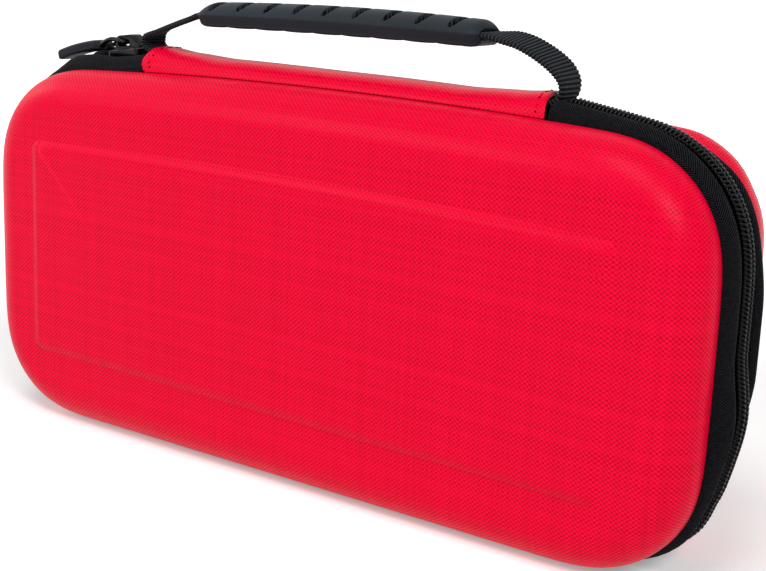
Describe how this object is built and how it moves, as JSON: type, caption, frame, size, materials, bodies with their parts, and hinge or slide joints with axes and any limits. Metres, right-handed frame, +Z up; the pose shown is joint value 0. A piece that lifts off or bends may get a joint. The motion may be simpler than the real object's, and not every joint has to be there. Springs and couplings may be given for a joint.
{
  "type": "portable game console case",
  "caption": "Zipped hard case for a handheld game console, with moulded cloth-covered halves, a cloth hinge, a carry handle and a zip slider",
  "frame": {"origin": "middle of the base, on the surface the case stands on", "axes": "+X along the length to the right as the moulded front is faced, -Y out of the front, +Z up to the handle"},
  "size_m": [0.268, 0.062, 0.146],
  "materials": {
    "red_cloth": "fine red polyester weave on moulded foam",
    "zip_tape": "black herringbone zip tape",
    "zip_coil": "black nylon coil",
    "elastic": "black woven elastic",
    "mesh": "black knitted mesh",
    "webbing": "black ribbed webbing",
    "grip_rubber": "dark grey soft moulded rubber",
    "slider_metal": "black enamel on cast metal",
    "pull_plastic": "black moulded plastic"
  },
  "bodies": {
    "rear": {"rear_shell": "red_cloth", "rear_zip_tape": "zip_tape", "rear_zip_coil": "zip_coil", "hold_strap_left": "elastic", "hold_strap_right": "elastic"},
    "spine": {"spine_fabric": "red_cloth", "handle_strap": "webbing", "handle_grip": "grip_rubber", "left_tape_ends": "zip_tape", "left_coil_ends": "zip_coil", "right_tape_ends": "zip_tape", "right_coil_ends": "zip_coil"},
    "lid": {"front_shell": "red_cloth", "front_zip_tape": "zip_tape", "front_zip_coil": "zip_coil", "mesh_pocket": "mesh", "mesh_binding": "elastic"},
    "slider": {"slider_body": "slider_metal", "slider_bridge": "slider_metal"},
    "puller": {"pull_link": "slider_metal", "pull_tab": "pull_plastic"}
  },
  "joints": [
    {"name": "spine_fold", "type": "hinge", "parent": "rear", "child": "spine", "pos_m": [0, 0.007, 0.123], "axis": [-1, 0, 0], "range_deg": [0, 90]},
    {"name": "lid_fold", "type": "hinge", "parent": "spine", "child": "lid", "pos_m": [0, -0.015, 0.123], "axis": [-1, 0, 0], "range_deg": [0, 90]},
    {"name": "slider_run", "type": "slide", "parent": "spine", "child": "slider", "axis": [-0.9907, 0, -0.1364], "range_m": [0, 0.007]},
    {"name": "pull_swing", "type": "hinge", "parent": "slider", "child": "puller", "pos_m": [-0.08707, -0.004, 0.12931], "axis": [0, 1, 0], "range_deg": [0, 95]}
  ],
  "couplings": [
    {"joint": "lid_fold", "follows": "spine_fold", "ratio": 1}
  ]
}
